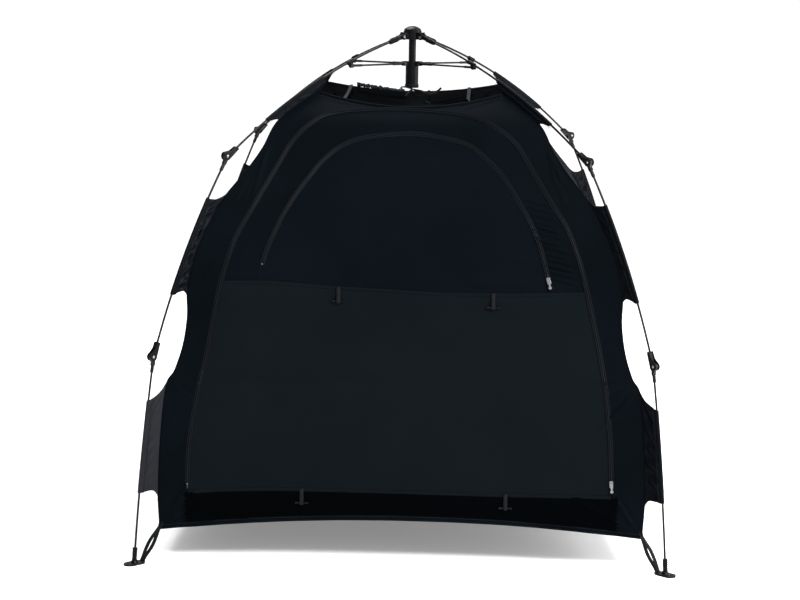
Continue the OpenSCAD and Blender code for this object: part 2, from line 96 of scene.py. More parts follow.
def spline(points, count):
    """count points evenly spaced along a smooth line through the given ones."""
    p = np.array(points, float)
    p = np.vstack([2 * p[0] - p[1], p, 2 * p[-1] - p[-2]])
    fine = [0.5 * (2 * b + (c - a) * t + (2 * a - 5 * b + 4 * c - d) * t * t
                   + (3 * b - a - 3 * c + d) * t ** 3)
            for a, b, c, d in zip(p[:-3], p[1:-2], p[2:-1], p[3:]) for t in np.linspace(0, 1, 12,
                                                                                        endpoint=False)]
    return resample(np.array(fine + [p[-2]]), count)


def lengths_along(line):
    return np.concatenate([[0], np.cumsum(np.linalg.norm(np.diff(line, axis=0), axis=1))])


def resample(line, count):
    run = lengths_along(line)
    at = np.linspace(0, run[-1], count)
    return np.column_stack([np.interp(at, run, line[:, k]) for k in range(line.shape[1])])


def ease(t):
    t = np.clip(t, 0, 1)
    return t * t * (3 - 2 * t)


def corner_profile():
    """Height and half width of the canopy's corners, off the back wall's solid."""
    co = np.array([v.co for v in frame["nodes"]["back_wall"].data.vertices])
    edge = co[np.abs(np.abs(co[:, 0]) - co[:, 1]) < 1e-4]
    return spline(sorted({(round(float(z), 4), round(float(y), 4)) for _, y, z in edge}), 300)


PROFILE = corner_profile()
HEM_Z, ROOF_Z = PROFILE[0, 0], PROFILE[-1, 0]


def half_width(z):
    return np.interp(z, PROFILE[:, 0], PROFILE[:, 1])


def crease(x, z, a, b, width, height):
    """A fold raised along the line from a to b, with a valley on each side."""
    dx, dz = b[0] - a[0], b[1] - a[1]
    run = math.hypot(dx, dz)
    t = ((x - a[0]) * dx + (z - a[1]) * dz) / run ** 2
    d = ((x - a[0]) * dz - (z - a[1]) * dx) / run / width
    return height * ease(np.minimum(t, 1 - t) * 3.5) * (1 - 1.6 * d * d) * np.exp(-d * d)


def fan(start, toward, spread, count, width, height, seed):
    """Creases that leave a pulled point in a fan."""
    rng = random.Random(seed)
    base = math.atan2(toward[1] - start[1], toward[0] - start[0])
    run = math.hypot(toward[0] - start[0], toward[1] - start[1])
    for k in range(count):
        turn = base + math.radians(spread) * ((k + rng.uniform(0.2, 0.8)) / count - 0.5)
        reach = run * rng.uniform(0.6, 1.1)
        begin = 0.04 * run
        yield ((start[0] + begin * math.cos(turn), start[1] + begin * math.sin(turn)),
               (start[0] + reach * math.cos(turn), start[1] + reach * math.sin(turn)),
               width * rng.uniform(0.7, 1.4), height * rng.uniform(0.5, 1.1))


def pleats(left, right, z_from, z_to, count, slope, width, height, seed):
    """Near-horizontal creases, one under the other, between two lines given as x at z_from and at z_to."""
    rng = random.Random(seed)
    for k in range(count):
        t = (k + rng.uniform(-0.25, 0.25)) / count
        z = z_from + (z_to - z_from) * t
        x0 = left[0] + (left[1] - left[0]) * t + rng.uniform(-0.004, 0.01)
        x1 = right[0] + (right[1] - right[0]) * t - rng.uniform(0, 0.02)
        yield (x0, z), (x1, z - slope * (x1 - x0)), width * rng.uniform(0.7, 1.3), height * rng.uniform(0.6,
                                                                                                        1.1)


def front_creases():
    found = list(pleats((0.318, 0.398), (0.435, 0.512), 1.03, 0.80, 13, 0.22, 0.0048, 0.0058, 4))
    found += pleats((0.20, 0.30), (0.33, 0.40), 0.93, 0.80, 6, 0.08, 0.008, 0.0020, 9)
    found += pleats((0.05, 0.05), (0.40, 0.41), 0.815, 0.790, 2, 0.03, 0.010, 0.0040, 5)
    found += pleats((-0.20, -0.16), (0.16, 0.10), 1.172, 1.146, 2, 0.02, 0.012, 0.0050, 6)
    found += fan((0.672, 0.53), (0.50, 0.42), 60, 6, 0.009, 0.0040, 11)
    found += fan((-0.672, 0.53), (-0.53, 0.44), 50, 4, 0.009, 0.0022, 12)
    for side in (-1, 1):
        found += fan((side * 0.678, 0.095), (side * 0.50, 0.24), 50, 5, 0.010, 0.0045, 21 + side)
        found += fan((side * 0.675, 0.10), (side * 0.30, 0.135), 10, 3, 0.008, 0.0032, 31 + side)
        found += fan((side * 0.40, 1.175), (side * 0.47, 0.98), 22, 4, 0.008, 0.0030, 41 + side)
        found += fan((side * 0.275, 1.305), (side * 0.10, 1.285), 24, 3, 0.007, 0.0022, 51 + side)
    found += pleats((-0.25, -0.20), (0.16, 0.35), 0.152, 0.138, 2, -0.02, 0.008, 0.0025, 7)
    return found


def plain_creases(seed):
    found = []
    for side in (-1, 1):
        found += fan((side * 0.678, 0.095), (side * 0.42, 0.30), 60, 7, 0.011, 0.0045, seed + side)
        found += fan((side * 0.672, 0.53), (side * 0.46, 0.46), 80, 6, 0.010, 0.0040, seed + 5 + side)
        found += fan((side * 0.615, 0.76), (side * 0.40, 0.80), 70, 6, 0.010, 0.0036, seed + 9 + side)
        found += fan((side * 0.40, 1.17), (side * 0.32, 0.96), 50, 5, 0.009, 0.0034, seed + 13 + side)
        found += fan((side * 0.275, 1.305), (side * 0.08, 1.22), 40, 4, 0.008, 0.0030, seed + 17 + side)
    return found


CREASES = {"front": front_creases(), "right": plain_creases(100), "back": plain_creases(200),
           "left": plain_creases(300)}


def wall_folds(wall, x, z):
    """How far the fabric of a wall stands out from its smooth shape."""
    phase = {"front": 0.3, "right": 1.9, "back": 3.1, "left": 4.4}[wall]
    out = 0.0016 * np.sin(9 * x + 4 * z + phase) * np.sin(7 * z - 3 * x + 2 * phase)
    out += 0.0005 * np.sin(41 * x + 17 * z + phase) * np.sin(29 * z + 2 * phase)
    for fold in CREASES[wall]:
        out = out + crease(x, z, *fold)
    inside = 1 - np.abs(x) / half_width(z)
    return out * ease(inside * 14)


def on_wall(wall, x, z, out=0.0):
    """Points on a wall, in the row frame."""
    x, z = np.asarray(x, float), np.asarray(z, float)
    w = half_width(z)
    f = np.clip(np.abs(x) / w, 0, 1)
    y = -(w - WALL_SAG * (1 - f * f)) - wall_folds(wall, x, z) - out
    return turned(np.stack([x, y, z], -1), WALL_TURN[wall])


def turned(points, degrees):
    a = math.radians(degrees)
    x, y = points[..., 0], points[..., 1]
    return np.stack([x * math.cos(a) - y * math.sin(a), x * math.sin(a) + y * math.cos(a), points[..., 2]],
                    -1)


def hem_z(x):
    f = np.clip(np.abs(x) / half_width(HEM_Z), 0, 1)
    return HEM_Z + HEM_LIFT * (1 - f * f)


def roof_edge_z(x, wall="front"):
    f = np.clip(np.abs(x) / half_width(ROOF_Z), 0, 1)
    return ROOF_Z - (BACK_DIP if wall == "back" else ROOF_DIP) * (1 - f * f)


def mid_seam_z(x):
    line = np.array(MID_SEAM)
    return np.interp(x, line[:, 0], line[:, 1])


def foot_seam_z(x):
    line = np.array(FOOT_SEAM)
    return np.interp(x, line[:, 0], line[:, 1])


# ---- meshes ----

SOFT = []


def mesh_from_grid(name, grid, material, body="root", closed=False, uv=None, smooth=True):
    """A mesh over a grid of points, rows by columns. A closed grid joins its last column to its first."""
    rows, cols = grid.shape[:2]
    spans = cols if closed else cols - 1
    faces = [(j * cols + i, j * cols + (i + 1) % cols, (j + 1) * cols + (i + 1) % cols, (j + 1) * cols + i)
             for j in range(rows - 1) for i in range(spans)]
    mesh = bpy.data.meshes.new(name)
    mesh.from_pydata(grid.reshape(-1, 3).tolist(), [], faces)
    if uv is None:
        steps_across = np.linalg.norm(np.diff(grid, axis=1), axis=2)
        steps_up = np.linalg.norm(np.diff(grid, axis=0), axis=2)
        across = np.concatenate([np.zeros((rows, 1)), np.cumsum(steps_across, 1)], 1)
        up = np.concatenate([np.zeros((1, cols)), np.cumsum(steps_up, 0)], 0)
        uv = np.stack([across, up], -1)
    layer = mesh.uv_layers.new(name="UVMap")
    corner = np.array([v for f in faces for v in f])
    layer.data.foreach_set("uv", uv.reshape(-1, 2)[corner].astype(np.float32).ravel())
    mesh.polygons.foreach_set("use_smooth", [smooth] * len(faces))
    obj = bpy.data.objects.new(name, mesh)
    bpy.context.scene.collection.objects.link(obj)
    mesh.materials.append(material)
    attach(obj, body)
    return obj


def solidify(obj, thickness=CLOTH, offset=-1.0):
    thick = obj.modifiers.new("thickness", "SOLIDIFY")
    thick.thickness = thickness
    thick.offset = offset
    return obj


def soft(obj, thickness=None):
    """Marks a piece that follows the folding frame, and gives it its thickness."""
    SOFT.append((obj, thickness))
    return obj


def frames_along(line, out):
    """Tangent, side and outward direction at each point of a line."""
    tangent = np.gradient(line, axis=0)
    tangent /= np.linalg.norm(tangent, axis=1, keepdims=True)
    out = np.broadcast_to(np.asarray(out, float), line.shape)
    out = out - tangent * (out * tangent).sum(1, keepdims=True)
    out = out / np.linalg.norm(out, axis=1, keepdims=True)
    return tangent, np.cross(tangent, out), out


def sweep(name, line, out, profile, material, body="root", closed=False):
    """A strip or bar whose profile, as (across, outward), runs along a line."""
    _, side, up = frames_along(line, out)
    profile = np.array(profile, float)
    grid = line[:, None] + side[:, None] * profile[None, :, :1] + up[:, None] * profile[None, :, 1:]
    return mesh_from_grid(name, grid, material, body, closed)


def bar_profile(radius, sides=12):
    return [(radius * math.cos(2 * math.pi * k / sides), radius * math.sin(2 * math.pi * k / sides))
            for k in range(sides)]


def flat_profile(width, thick, lift=0.0):
    """A rounded rectangle, for webbing and turned hems."""
    w, r = width / 2, thick / 2
    return [(-w, lift + r), (-w + r, lift + thick), (w - r, lift + thick), (w, lift + r), (w - r, lift),
            (-w + r, lift)]


def stitches(name, lines, material, pitch=0.0050, length=0.0034, width=0.0009, lift=0.0006, body="root"):
    """Rows of thread, each row a (line, outward direction) pair."""
    points, faces = [], []
    corners = [(-0.5, -0.5, 0), (0.5, -0.5, 0), (0.5, 0.5, 0), (-0.5, 0.5, 0),
               (-0.36, -0.3, 1), (0.36, -0.3, 1), (0.36, 0.3, 1), (-0.36, 0.3, 1)]
    for line, out in lines:
        run = lengths_along(line)[-1]
        count = max(3, int(run / pitch) + 1)
        out = np.broadcast_to(np.asarray(out, float), line.shape)
        both = resample(np.hstack([line, out * 1e-6]), count)
        spots, normals = both[:, :3], both[:, 3:] * 1e6
        tangent, side, up = frames_along(spots, normals)
        for p, t, s, u in zip(spots, tangent, side, up):
            base = len(points)
            points += [p + t * length * a + s * width * b + u * (lift * c - 0.0002) for a, b, c in corners]
            faces += [tuple(base + k for k in f) for f in
                      ((4, 5, 6, 7), (0, 1, 5, 4), (1, 2, 6, 5), (2, 3, 7, 6), (3, 0, 4, 7))]
    mesh = bpy.data.meshes.new(name)
    mesh.from_pydata([tuple(p) for p in points], [], faces)
    mesh.materials.append(material)
    obj = bpy.data.objects.new(name, mesh)
    bpy.context.scene.collection.objects.link(obj)
    return soft(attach(obj, body))


# ---- materials ----

def new_material(name, colour, roughness, metallic=0.0, specular=0.5):
    material = bpy.data.materials.new(name)
    material.use_nodes = True
    nodes, links = material.node_tree.nodes, material.node_tree.links
    shader = nodes["Principled BSDF"]
    shader.inputs["Base Color"].default_value = (*colour, 1)
    shader.inputs["Roughness"].default_value = roughness
    shader.inputs["Metallic"].default_value = metallic
    shader.inputs["Specular IOR Level"].default_value = specular
    return material, nodes, links, shader


def node(nodes, kind, **inputs):
    made = nodes.new(kind)
    for key, value in inputs.items():
        if key in made.inputs:
            made.inputs[key].default_value = value
        else:
            setattr(made, key, value)
    return made


def ramp_between(nodes, links, source, low, high, dark, light):
    """Mixes two colours by a value that runs from low to high."""
    ramp = nodes.new("ShaderNodeValToRGB")
    ramp.color_ramp.elements[0].position, ramp.color_ramp.elements[1].position = low, high
    ramp.color_ramp.elements[0].color, ramp.color_ramp.elements[1].color = (*dark, 1), (*light, 1)
    links.new(source, ramp.inputs["Fac"])
    return ramp.outputs["Color"]


def ramp_value(nodes, links, source, low, high, start, end):
    mapped = nodes.new("ShaderNodeMapRange")
    mapped.inputs["From Min"].default_value, mapped.inputs["From Max"].default_value = low, high
    mapped.inputs["To Min"].default_value, mapped.inputs["To Max"].default_value = start, end
    links.new(source, mapped.inputs["Value"])
    return mapped.outputs["Result"]


def fabric(name, colour, roughness, weave=0.0016, crumple=0.0, dust=0.12, weave_bump=0.12, specular=0.08):
    """Woven cloth: a fine weave and small crumples in the surface, and slight fading in patches."""
    material, nodes, links, shader = new_material(name, colour, roughness, specular=specular)
    place = nodes.new("ShaderNodeUVMap")
    object_place = nodes.new("ShaderNodeTexCoord")
    patches = node(nodes, "ShaderNodeTexNoise", Scale=3.2, Detail=5.0, Roughness=0.62)
    links.new(object_place.outputs["Object"], patches.inputs["Vector"])
    lighter = tuple(min(1, c * (1 + 4 * dust) + 0.004 * dust) for c in colour)
    links.new(ramp_between(nodes, links, patches.outputs["Fac"], 0.35, 0.75, colour, lighter),
              shader.inputs["Base Color"])
    links.new(ramp_value(nodes, links, patches.outputs["Fac"], 0.3, 0.7, roughness - 0.05, roughness + 0.07),
              shader.inputs["Roughness"])
    height = None
    for direction in ("X", "Y"):
        threads = node(nodes, "ShaderNodeTexWave", wave_type="BANDS", bands_direction=direction,
                       Scale=0.314 / weave, Distortion=0.6, Detail=1.0)
        links.new(place.outputs["UV"], threads.inputs["Vector"])
        if height is None:
            height = threads.outputs["Fac"]
        else:
            crossed = node(nodes, "ShaderNodeMath", operation="MULTIPLY")
            links.new(height, crossed.inputs[0])
            links.new(threads.outputs["Fac"], crossed.inputs[1])
            height = crossed.outputs["Value"]
    bump = node(nodes, "ShaderNodeBump", Strength=weave_bump, Distance=0.0004)
    links.new(height, bump.inputs["Height"])
    if crumple:
        small = node(nodes, "ShaderNodeTexNoise", Scale=38.0, Detail=4.0, Roughness=0.55, Distortion=1.2)
        links.new(object_place.outputs["Object"], small.inputs["Vector"])
        folds = node(nodes, "ShaderNodeBump", Strength=crumple, Distance=0.006)
        links.new(small.outputs["Fac"], folds.inputs["Height"])
        links.new(folds.outputs["Normal"], bump.inputs["Normal"])
    links.new(bump.outputs["Normal"], shader.inputs["Normal"])
    return material


def hard(name, colour, roughness, metallic=0.0, grain=60.0, bump_mm=0.05, specular=0.5, wear=0.3):
    """Moulded plastic or metal: a fine grain, and scuffs that change the gloss and colour a little."""
    material, nodes, links, shader = new_material(name, colour, roughness, metallic, specular)
    place = nodes.new("ShaderNodeTexCoord")
    fine = node(nodes, "ShaderNodeTexNoise", Scale=grain * 12, Detail=3.0)
    scuffs = node(nodes, "ShaderNodeTexNoise", Scale=grain, Detail=6.0, Roughness=0.7, Distortion=0.8)
    links.new(place.outputs["Object"], fine.inputs["Vector"])
    links.new(place.outputs["Object"], scuffs.inputs["Vector"])
    worn = tuple(min(1, c * (1 + 1.2 * wear) + 0.006 * wear) for c in colour)
    links.new(ramp_between(nodes, links, scuffs.outputs["Fac"], 0.5, 0.78, colour, worn),
              shader.inputs["Base Color"])
    links.new(ramp_value(nodes, links, scuffs.outputs["Fac"], 0.35, 0.7, roughness - 0.06, roughness + 0.12),
              shader.inputs["Roughness"])
    bump = node(nodes, "ShaderNodeBump", Strength=0.35, Distance=bump_mm / 1000)
    links.new(fine.outputs["Fac"], bump.inputs["Height"])
    links.new(bump.outputs["Normal"], shader.inputs["Normal"])
    return material


SHELL = fabric("shell_fabric", (0.0009, 0.0017, 0.0027), 0.62, dust=0.10, specular=0.012)
PANEL = fabric("panel_fabric", (0.0029, 0.0044, 0.0054), 0.80, weave=0.0022, dust=0.04, specular=0.004)
WINDOW = fabric("window_fabric", (0.0016, 0.0026, 0.0037), 0.72, weave=0.0020, dust=0.06, specular=0.004)
HEM_BAND = fabric("hem_band_fabric", (0.0005, 0.0007, 0.0010), 0.60, dust=0.03, specular=0.003)
# Painted shade: the roof's base colour is made darker than the walls' to stand for the shadow in the sunken roof
# dish.
ROOF_PAINTED_SHADE = fabric("roof_fabric_painted_shade", (0.0002, 0.0004, 0.0007), 0.60, dust=0.04, crumple=0.25, specular=0.002)
WING = fabric("wing_fabric", (0.0013, 0.0018, 0.0027), 0.42, dust=0.10, crumple=0.40, specular=0.035)
# Painted sheen: a lighter copy of the wing cloth for the one sleeve that faces the key light. Its lighter base
# colour is painted sheen; its lower roughness and higher specular give real gloss.
WING_PAINTED_SHEEN = fabric("wing_fabric_painted_sheen", (0.0058, 0.0063, 0.0080), 0.38, dust=0.10, crumple=0.30,
                     specular=0.10)
TAPE = fabric("zip_tape", (0.0013, 0.0020, 0.0030), 0.50, weave=0.0009, dust=0.06, weave_bump=0.6,
              specular=0.03)
WEBBING = fabric("webbing", (0.0052, 0.0058, 0.0070), 0.60, weave=0.0014, dust=0.06, weave_bump=0.8,
                 specular=0.05)
GREY_CLOTH = fabric("grey_cloth", (0.0048, 0.0053, 0.0062), 0.60, weave=0.0018, dust=0.4, crumple=0.7,
                    specular=0.03)
THREAD = fabric("thread", (0.009, 0.012, 0.016), 0.45, weave=0.0006, dust=0.2, specular=0.10)
CORD = fabric("cord_weave", (0.0026, 0.003, 0.004), 0.65, weave=0.0012, dust=0.06, weave_bump=0.9,
              specular=0.06)
COIL = hard("zip_coil", (0.0026, 0.0034, 0.0048), 0.34, grain=400.0, bump_mm=0.02, specular=0.14)
HARD = {
    "hub_plastic": hard("hub_plastic", (0.0020, 0.0023, 0.0028), 0.38, specular=0.08),
    "pole": hard("pole_gloss", (0.0024, 0.0028, 0.0031), 0.34, grain=90.0, bump_mm=0.02, specular=0.14),
    "mast_metal": hard("mast_metal", (0.0020, 0.0023, 0.0028), 0.36, bump_mm=0.02, specular=0.08),
    "rivet_metal": hard("rivet_metal", (0.26, 0.26, 0.27), 0.30, metallic=1.0, grain=300.0, bump_mm=0.01),
    "zip_metal": hard("zip_metal", (0.20, 0.20, 0.21), 0.38, metallic=1.0, grain=400.0, bump_mm=0.01),
}


# ---- the cabin's fabric ----

def full_wall(wall):
    """A side or back wall in one piece, from corner to corner."""
    f = np.sin(np.linspace(-math.pi / 2, math.pi / 2, 181)) * 0.35 + np.linspace(-1, 1, 181) * 0.65
    v = np.linspace(0, 1, 171)[:, None]
    corner = HEM_Z + (ROOF_Z - HEM_Z) * v
    x = f[None, :] * half_width(corner)
    lift = 1 - f[None, :] ** 2
    z = corner + HEM_LIFT * lift * (1 - v) - (BACK_DIP if wall == "back" else ROOF_DIP) * lift * v
    grid = on_wall(wall, x, z)
    obj = mesh_from_grid(wall + "_wall_cloth", grid, SHELL, uv=np.stack([x, z], -1))
    return soft(obj, CLOTH)


def front_shell():
    """The front wall round the door: from the door's outline to the hem, the corners and the roof's edge."""
    corner = PROFILE[:, ::-1]
    hem = np.linspace(0, half_width(HEM_Z), 60)
    top = np.linspace(half_width(ROOF_Z), 0, 40)
    outer_half = np.vstack([resample(np.column_stack([hem, hem_z(hem)]), 70)[:-1],
                            resample(corner, 190)[:-1],
                            resample(np.column_stack([top, roof_edge_z(top)]), 40)])
    arch = spline(DOOR_ARCH, 600)
    shoulder = int(np.argmax(arch[:, 1] > 1.2)), len(arch) - 1 - int(np.argmax(arch[::-1, 1] > 1.2))
    top_at = int(np.argmin(np.abs(arch[:, 0])))
    foot = spline(FOOT_SEAM, 200)
    middle = int(np.argmin(np.abs(foot[:, 0])))
    right = np.vstack([resample(foot[middle:], 70)[:-1], resample(arch[shoulder[1]:][::-1], 190)[:-1],
                       resample(arch[top_at:shoulder[1] + 1][::-1], 40)])
    left = np.vstack([resample(foot[:middle + 1][::-1], 70)[:-1], resample(arch[:shoulder[0] + 1], 190)[:-1],
                      resample(arch[shoulder[0]:top_at + 1], 40)])
    outer = np.vstack([outer_half, (outer_half * [-1, 1])[-2:0:-1]])
    inner = np.vstack([right, left[-2:0:-1]])
    t = np.linspace(0, 1, 26)[:, None, None]
    xz = inner[None] * (1 - t) + outer[None] * t
    obj = mesh_from_grid("front_wall_cloth", on_wall("front", xz[..., 0], xz[..., 1]), SHELL, closed=True,
                         uv=xz)
    obj.data.materials.append(HEM_BAND)
    for face in obj.data.polygons:
        if face.center.z < foot_seam_z(face.center.x) and abs(face.center.x) < 0.612:
            face.material_index = 1
    return soft(obj, CLOTH)


def arch_between(z_low_left, z_low_right, arch, count):
    """An arch's points from one height on the left to another on the right."""
    fine = spline(arch, 900)
    top = int(np.argmax(fine[:, 1]))
    left = np.arange(len(fine)) <= top
    keep = (left & (fine[:, 1] >= z_low_left)) | (~left & (fine[:, 1] >= z_low_right))
    return resample(fine[keep], count)


def side_of_door(z, side):
    """Where the door's outline stands at a height."""
    fine = spline(DOOR_ARCH, 900)
    fine = fine[fine[:, 0] * side > 0]
    fine = fine[np.argsort(fine[:, 1])]
    return np.interp(z, fine[:, 1], fine[:, 0])


def door_panels():
    outer = arch_between(0.787, 0.773, DOOR_ARCH, 300)
    inner = arch_between(0.789, 0.769, WINDOW_ARCH, 300)
    t = np.linspace(0, 1, 22)[:, None, None]
    band = inner[None] * (1 - t) + outer[None] * t
    door = mesh_from_grid("door_panel_cloth", on_wall("front", band[..., 0], band[..., 1]), SHELL, uv=band)
    base_x = np.linspace(inner[0, 0], inner[-1, 0], 300)
    base = np.column_stack([base_x, mid_seam_z(base_x)])
    t = np.linspace(0, 1, 60)[:, None, None]
    pane = base[None] * (1 - t) + inner[None] * t
    window = mesh_from_grid("window_panel_cloth", on_wall("front", pane[..., 0], pane[..., 1]), WINDOW,
                            uv=pane)
    u = np.linspace(0, 1, 170)[None, :]
    v = np.linspace(0, 1, 84)[:, None]
    level = 0.205 + 0.567 * v
    x = side_of_door(level, -1) * (1 - u) + side_of_door(level, 1) * u
    z = foot_seam_z(x) * (1 - v) + mid_seam_z(x) * v
    lower = mesh_from_grid("lower_panel_cloth", on_wall("front", x, z), PANEL, uv=np.stack([x, z], -1))
    for obj, name in ((door, "shell_fabric"), (window, "shell_fabric"), (lower, "panel_fabric")):
        soft(obj, CLOTH)
    return door, window, lower


def roof():
    """The roof, a shallow dish between the four top edges, with folds that run in from its corners."""
    f = np.linspace(-1, 1, 101)

    def edge(g, dip):
        z = ROOF_Z - dip * (1 - g * g)
        return half_width(z) - WALL_SAG * (1 - g * g)

    across, along = np.meshgrid(f, f)
    dip = ROOF_DIP + (BACK_DIP - ROOF_DIP) * (1 + along) / 2
    x, y = across * edge(along, ROOF_DIP), along * edge(across, dip)
    z = ROOF_Z - dip * (1 - across ** 2) - ROOF_DIP * (1 - along ** 2)
    inside = ease((1 - np.maximum(np.abs(across), np.abs(along))) * 5)
    ripple = sum(crease(x, y, *fold) for k, (sx, sy) in enumerate(((-1, -1), (1, -1), (1, 1), (-1, 1)))
                 for fold in fan((sx * 0.26, sy * 0.26), (sx * 0.05, sy * 0.04), 50, 6, 0.010, 0.006, 70 + k))
    z = z + inside * (ripple + 0.004 * np.sin(23 * x + 11 * y) * np.sin(19 * y - 7 * x))
    # The roof's cloth is darkened in its base colour as painted shade.
    obj = mesh_from_grid("roof_cloth", np.stack([x, y, z], -1), ROOF_PAINTED_SHADE, uv=np.stack([x, y], -1))
    return soft(obj, CLOTH)


# ---- rods and sleeves ----

PIN_OFFSET = 0.0055


def beside(pin, slope):
    a = math.radians(slope)
    return (pin[0] - PIN_OFFSET * math.sin(a), pin[1] - PIN_OFFSET * math.cos(a))


UPPER_PIN, LOWER_PIN = (0.729, 1.137), (0.993, 0.586)
# Each rod as its two ends in the leg's plane, as (distance from the mast, height), and its bend in degrees.
RODS = {"upper": ((0.050, 1.464), beside(UPPER_PIN, 37), 22),
        "mid": (beside(UPPER_PIN, 56), beside(LOWER_PIN, 71), 15),
        "lower": (beside(LOWER_PIN, 81.5), (1.056, 0.008), 4.5)}


def rod_line(rod, r_from, r_to, count):
    """Points on a bent rod's centreline, and the direction out of the bend at each."""
    (ax, az), (bx, bz), bend = RODS[rod]
    half = math.hypot(bx - ax, bz - az) / 2
    radius = half / math.sin(math.radians(bend) / 2)
    ux, uz = (bx - ax) / (2 * half), (bz - az) / (2 * half)
    depth = radius * math.cos(math.radians(bend) / 2)
    cx, cz = (ax + bx) / 2 + uz * depth, (az + bz) / 2 - ux * depth
    a = np.linspace(math.acos((r_from - cx) / radius), math.acos((r_to - cx) / radius), count)
    away = np.column_stack([np.cos(a), np.sin(a)])
    return np.array([cx, cz]) + radius * away, away


def in_leg(leg, r, t, z):
    """Points of a leg's plane, with t along its pins, in the row frame."""
    return turned(np.stack(np.broadcast_arrays(r, t, z), -1).astype(float), LEG_TURN[leg])


# Rod, its sleeve's two ends by distance from the mast, the seam's two ends by height, and its wrinkles'
# height.
SLEEVES = {"top": ("upper", 0.363, 0.579, 1.313, 1.238, 0.0016),
           "mid": ("mid", 0.794, 0.924, 1.012, 0.770, 0.0050),
           "low": ("lower", 1.006, 1.038, 0.492, 0.206, 0.0022)}
WRINKLED = {("fl", "mid"): 1.6, ("fr", "mid"): 0.7, ("fl", "low"): 0.3, ("fr", "low"): 2.2}


def sleeve(leg, part):
    """A folded strip of fabric sewn to the cabin's corner, with a rod in its fold."""
    rod, r0, r1, z0, z1, wrinkle = SLEEVES[part]
    wrinkle *= WRINKLED.get((leg, part), 1.0)
    rows, web_cols, turn_cols = 60, 15, 13
    line, away = rod_line(rod, r0, r1, rows)
    s = np.linspace(0, 1, rows)
    tube = 0.0053
    web = np.linspace(0, 1, web_cols)[::-1]
    rng = random.Random(leg + part)
    waves = [(rng.uniform(9, 26), rng.uniform(-9, 9), rng.uniform(0, 6.3)) for _ in range(6)]
    columns = []
    for face in (1, -1):
        strip = []
        for c in (web if face > 0 else web[::-1]):
            flare = 0.10 * c ** 5
            at = s + flare * (2 * s - 1)
            z = z0 + (z1 - z0) * at
            seam = np.column_stack([half_width(z) * math.sqrt(2) - 0.001, z])
            start = line - away * tube * 0.9
            rz = start * (1 - c) + seam * c
            ripple = sum(np.sin(a * s * 2 + b * c + p) for a, b, p in waves) / 3
            t = face * (0.0012 + tube * 0.75 * (1 - c) ** 6) + wrinkle * ripple * math.sin(math.pi * min(1,
                                                                                                         c * 1.02))
            strip.append(in_leg(leg, rz[:, 0], t, rz[:, 1]))
        columns.append(strip)
    round_rod = []
    for a in np.linspace(-0.75 * math.pi, 0.75 * math.pi, turn_cols)[::-1]:
        rz = line + away * tube * math.cos(a)
        round_rod.append(in_leg(leg, rz[:, 0], tube * math.sin(a), rz[:, 1]))
    grid = np.stack(columns[0] + round_rod + columns[1], 1)
    # The front-left lower sleeve takes the lighter copy of the wing cloth, whose base colour carries painted
    # sheen.
    obj = mesh_from_grid(f"{part}_sleeve_{leg}", grid, WING_PAINTED_SHEEN if (leg, part) == ("fl", "low") else WING)
    return soft(obj, 0.0005)


def sleeve_stitches(leg, part):
    """Two rows beside the rod, on each face of the sleeve."""
    rod, r0, r1, *_ = SLEEVES[part]
    line, away = rod_line(rod, r0, r1, 60)
    normal = in_leg(leg, 0.0, 1.0, 0.0)
    rows = []
    for inset in (0.0085, 0.0115):
        rz = line - away * inset
        for face in (1, -1):
            rows.append((in_leg(leg, rz[:, 0], face * 0.0042, rz[:, 1]), face * normal))
    return rows


# ---- zips ----

def arch_line(arch, low_left, low_right, count, out):
    xz = arch_between(low_left, low_right, arch, count)
    return on_wall("front", xz[:, 0], xz[:, 1], out)


WALL_OUT = (0, -1, 0.25)
TAPE_PROFILE = [(-0.0075, 0.0), (-0.0074, 0.0010), (-0.0068, 0.0016), (-0.0060, 0.0012), (-0.0046, 0.0007),
                (-0.0030, 0.0009), (-0.0022, 0.0019), (-0.0012, 0.0020), (-0.0008, 0.0010), (0.0008, 0.0010),
                (0.0012, 0.0020), (0.0022, 0.0019), (0.0030, 0.0009), (0.0046, 0.0007), (0.0060, 0.0012),
                (0.0068, 0.0016), (0.0074, 0.0010), (0.0075, 0.0)]


def coil(name, line, body="root"):
    """A zip's nylon coil: a ribbed bar, two rings to a tooth."""
    run = lengths_along(line)[-1]
    rings = 2 * int(run / 0.0030)
    line = resample(line, rings)
    _, side, up = frames_along(line, WALL_OUT)
    radius = np.where(np.arange(rings) % 2, 0.0008, 0.00145)[:, None, None]
    ring = np.array(bar_profile(1.0, 6))
    grid = line[:, None] + radius * (side[:, None] * ring[None, :, :1] + up[:, None] * ring[None, :, 1:])
    return soft(mesh_from_grid(name, grid, COIL, body, closed=True))


def zip_pieces(name, arch, low_left, low_right, count):
    line = arch_line(arch, low_left, low_right, count, 0.0008)
    tape = soft(sweep(name + "_tape", line, WALL_OUT, TAPE_PROFILE, TAPE))
    teeth = coil(name + "_coil", arch_line(arch, low_left, low_right, count, 0.0019))
    _, side, up = frames_along(line, WALL_OUT)
    rows = [(line + side * a + up * 0.0011, up) for a in (-0.0052, 0.0052)]
    thread = stitches(name + "_stitching", rows, THREAD, pitch=0.0046, length=0.0030, width=0.0010)
    stops = []
    for k, at in ((0, 0), (1, -1)):
        stop = small_box(f"{name}_stop_{k + 1}", line[at] + up[at] * 0.0018, side[at], up[at],
                         (0.0042, 0.0030, 0.0020), HARD["zip_metal"])
        stops.append(stop)
    return tape, teeth, thread, stops


